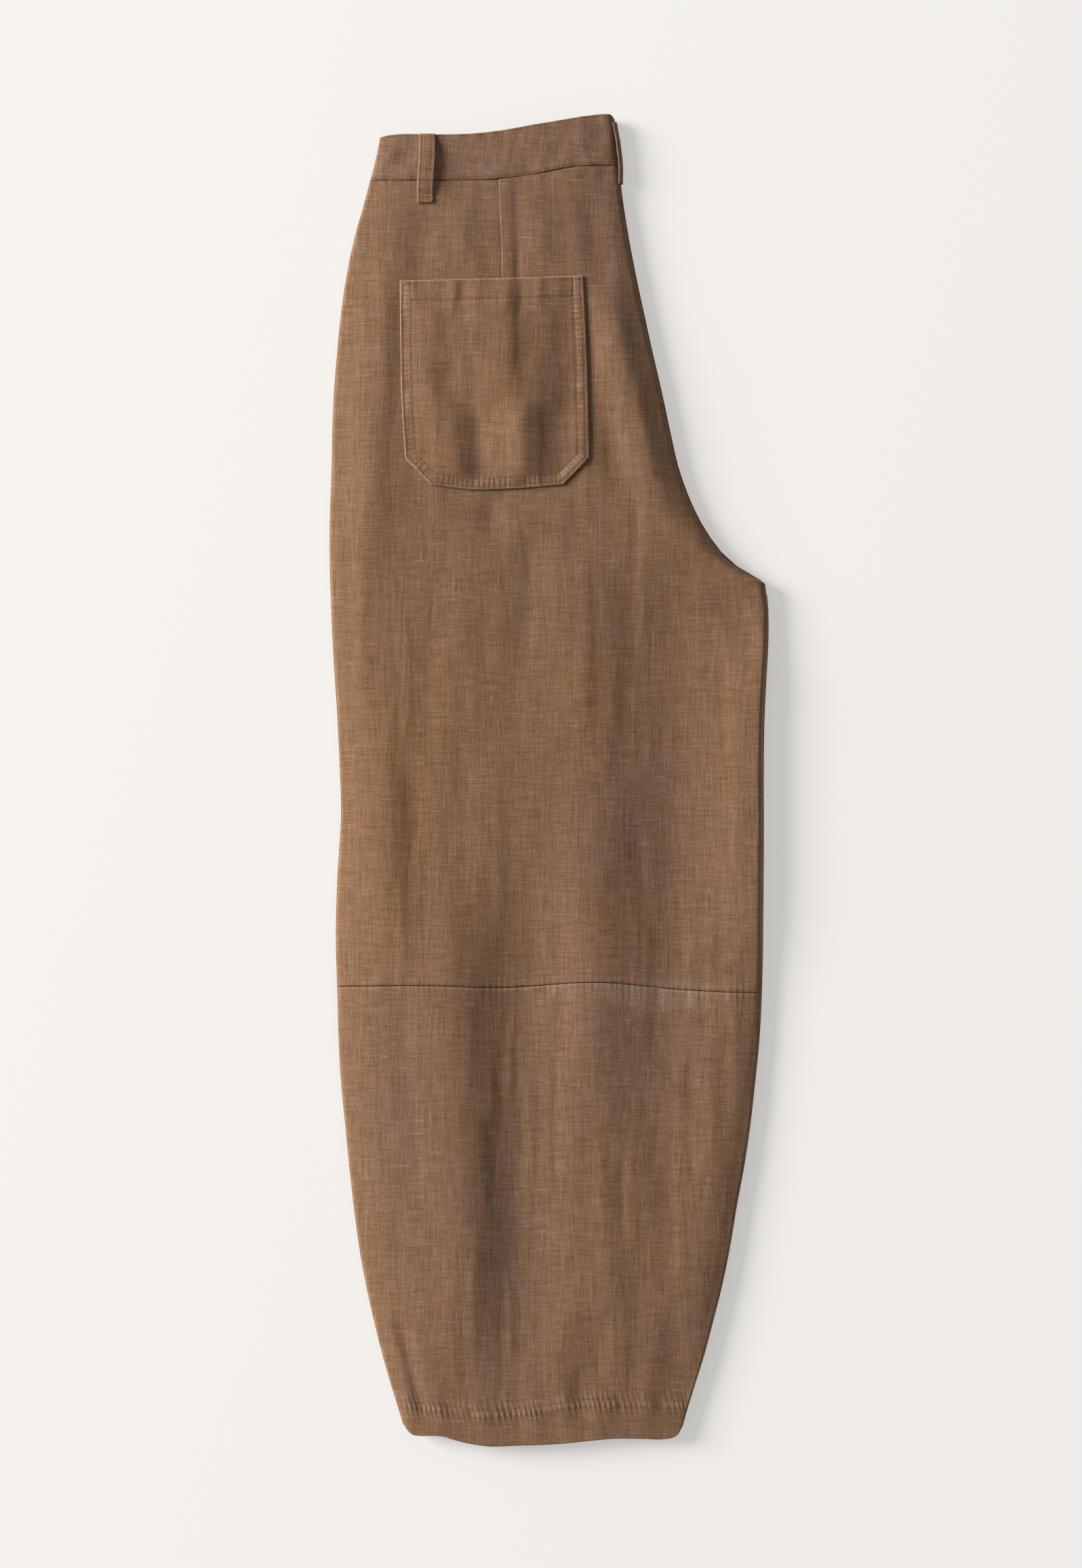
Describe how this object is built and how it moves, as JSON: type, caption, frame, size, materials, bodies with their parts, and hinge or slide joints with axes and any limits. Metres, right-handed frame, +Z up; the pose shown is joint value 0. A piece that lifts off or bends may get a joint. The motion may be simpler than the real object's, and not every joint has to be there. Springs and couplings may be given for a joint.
{
  "type": "barrel leg trousers",
  "caption": "Washed linen barrel-leg trousers, folded in half along the centre back and laid flat, with a patch pocket and belt loops.",
  "frame": {"origin": "on the surface the garment lies on, under the middle of its outline", "axes": "+Z up, away from the surface; +Y from the hem to the waist; +X from the side seams to the seat and inseams"},
  "size_m": [0.3294, 1.0021, 0.0172],
  "materials": {
    "linen": "matt washed linen",
    "inner_linen": "matt washed linen",
    "thread": "matt sewing thread"
  },
  "bodies": {
    "root": {"back_upper_panel": "linen", "back_lower_panel": "linen", "waistband": "linen", "side_belt_loop": "linen", "back_belt_loop": "linen", "patch_pocket": "linen", "hidden_layers": "inner_linen"}
  },
  "joints": []
}
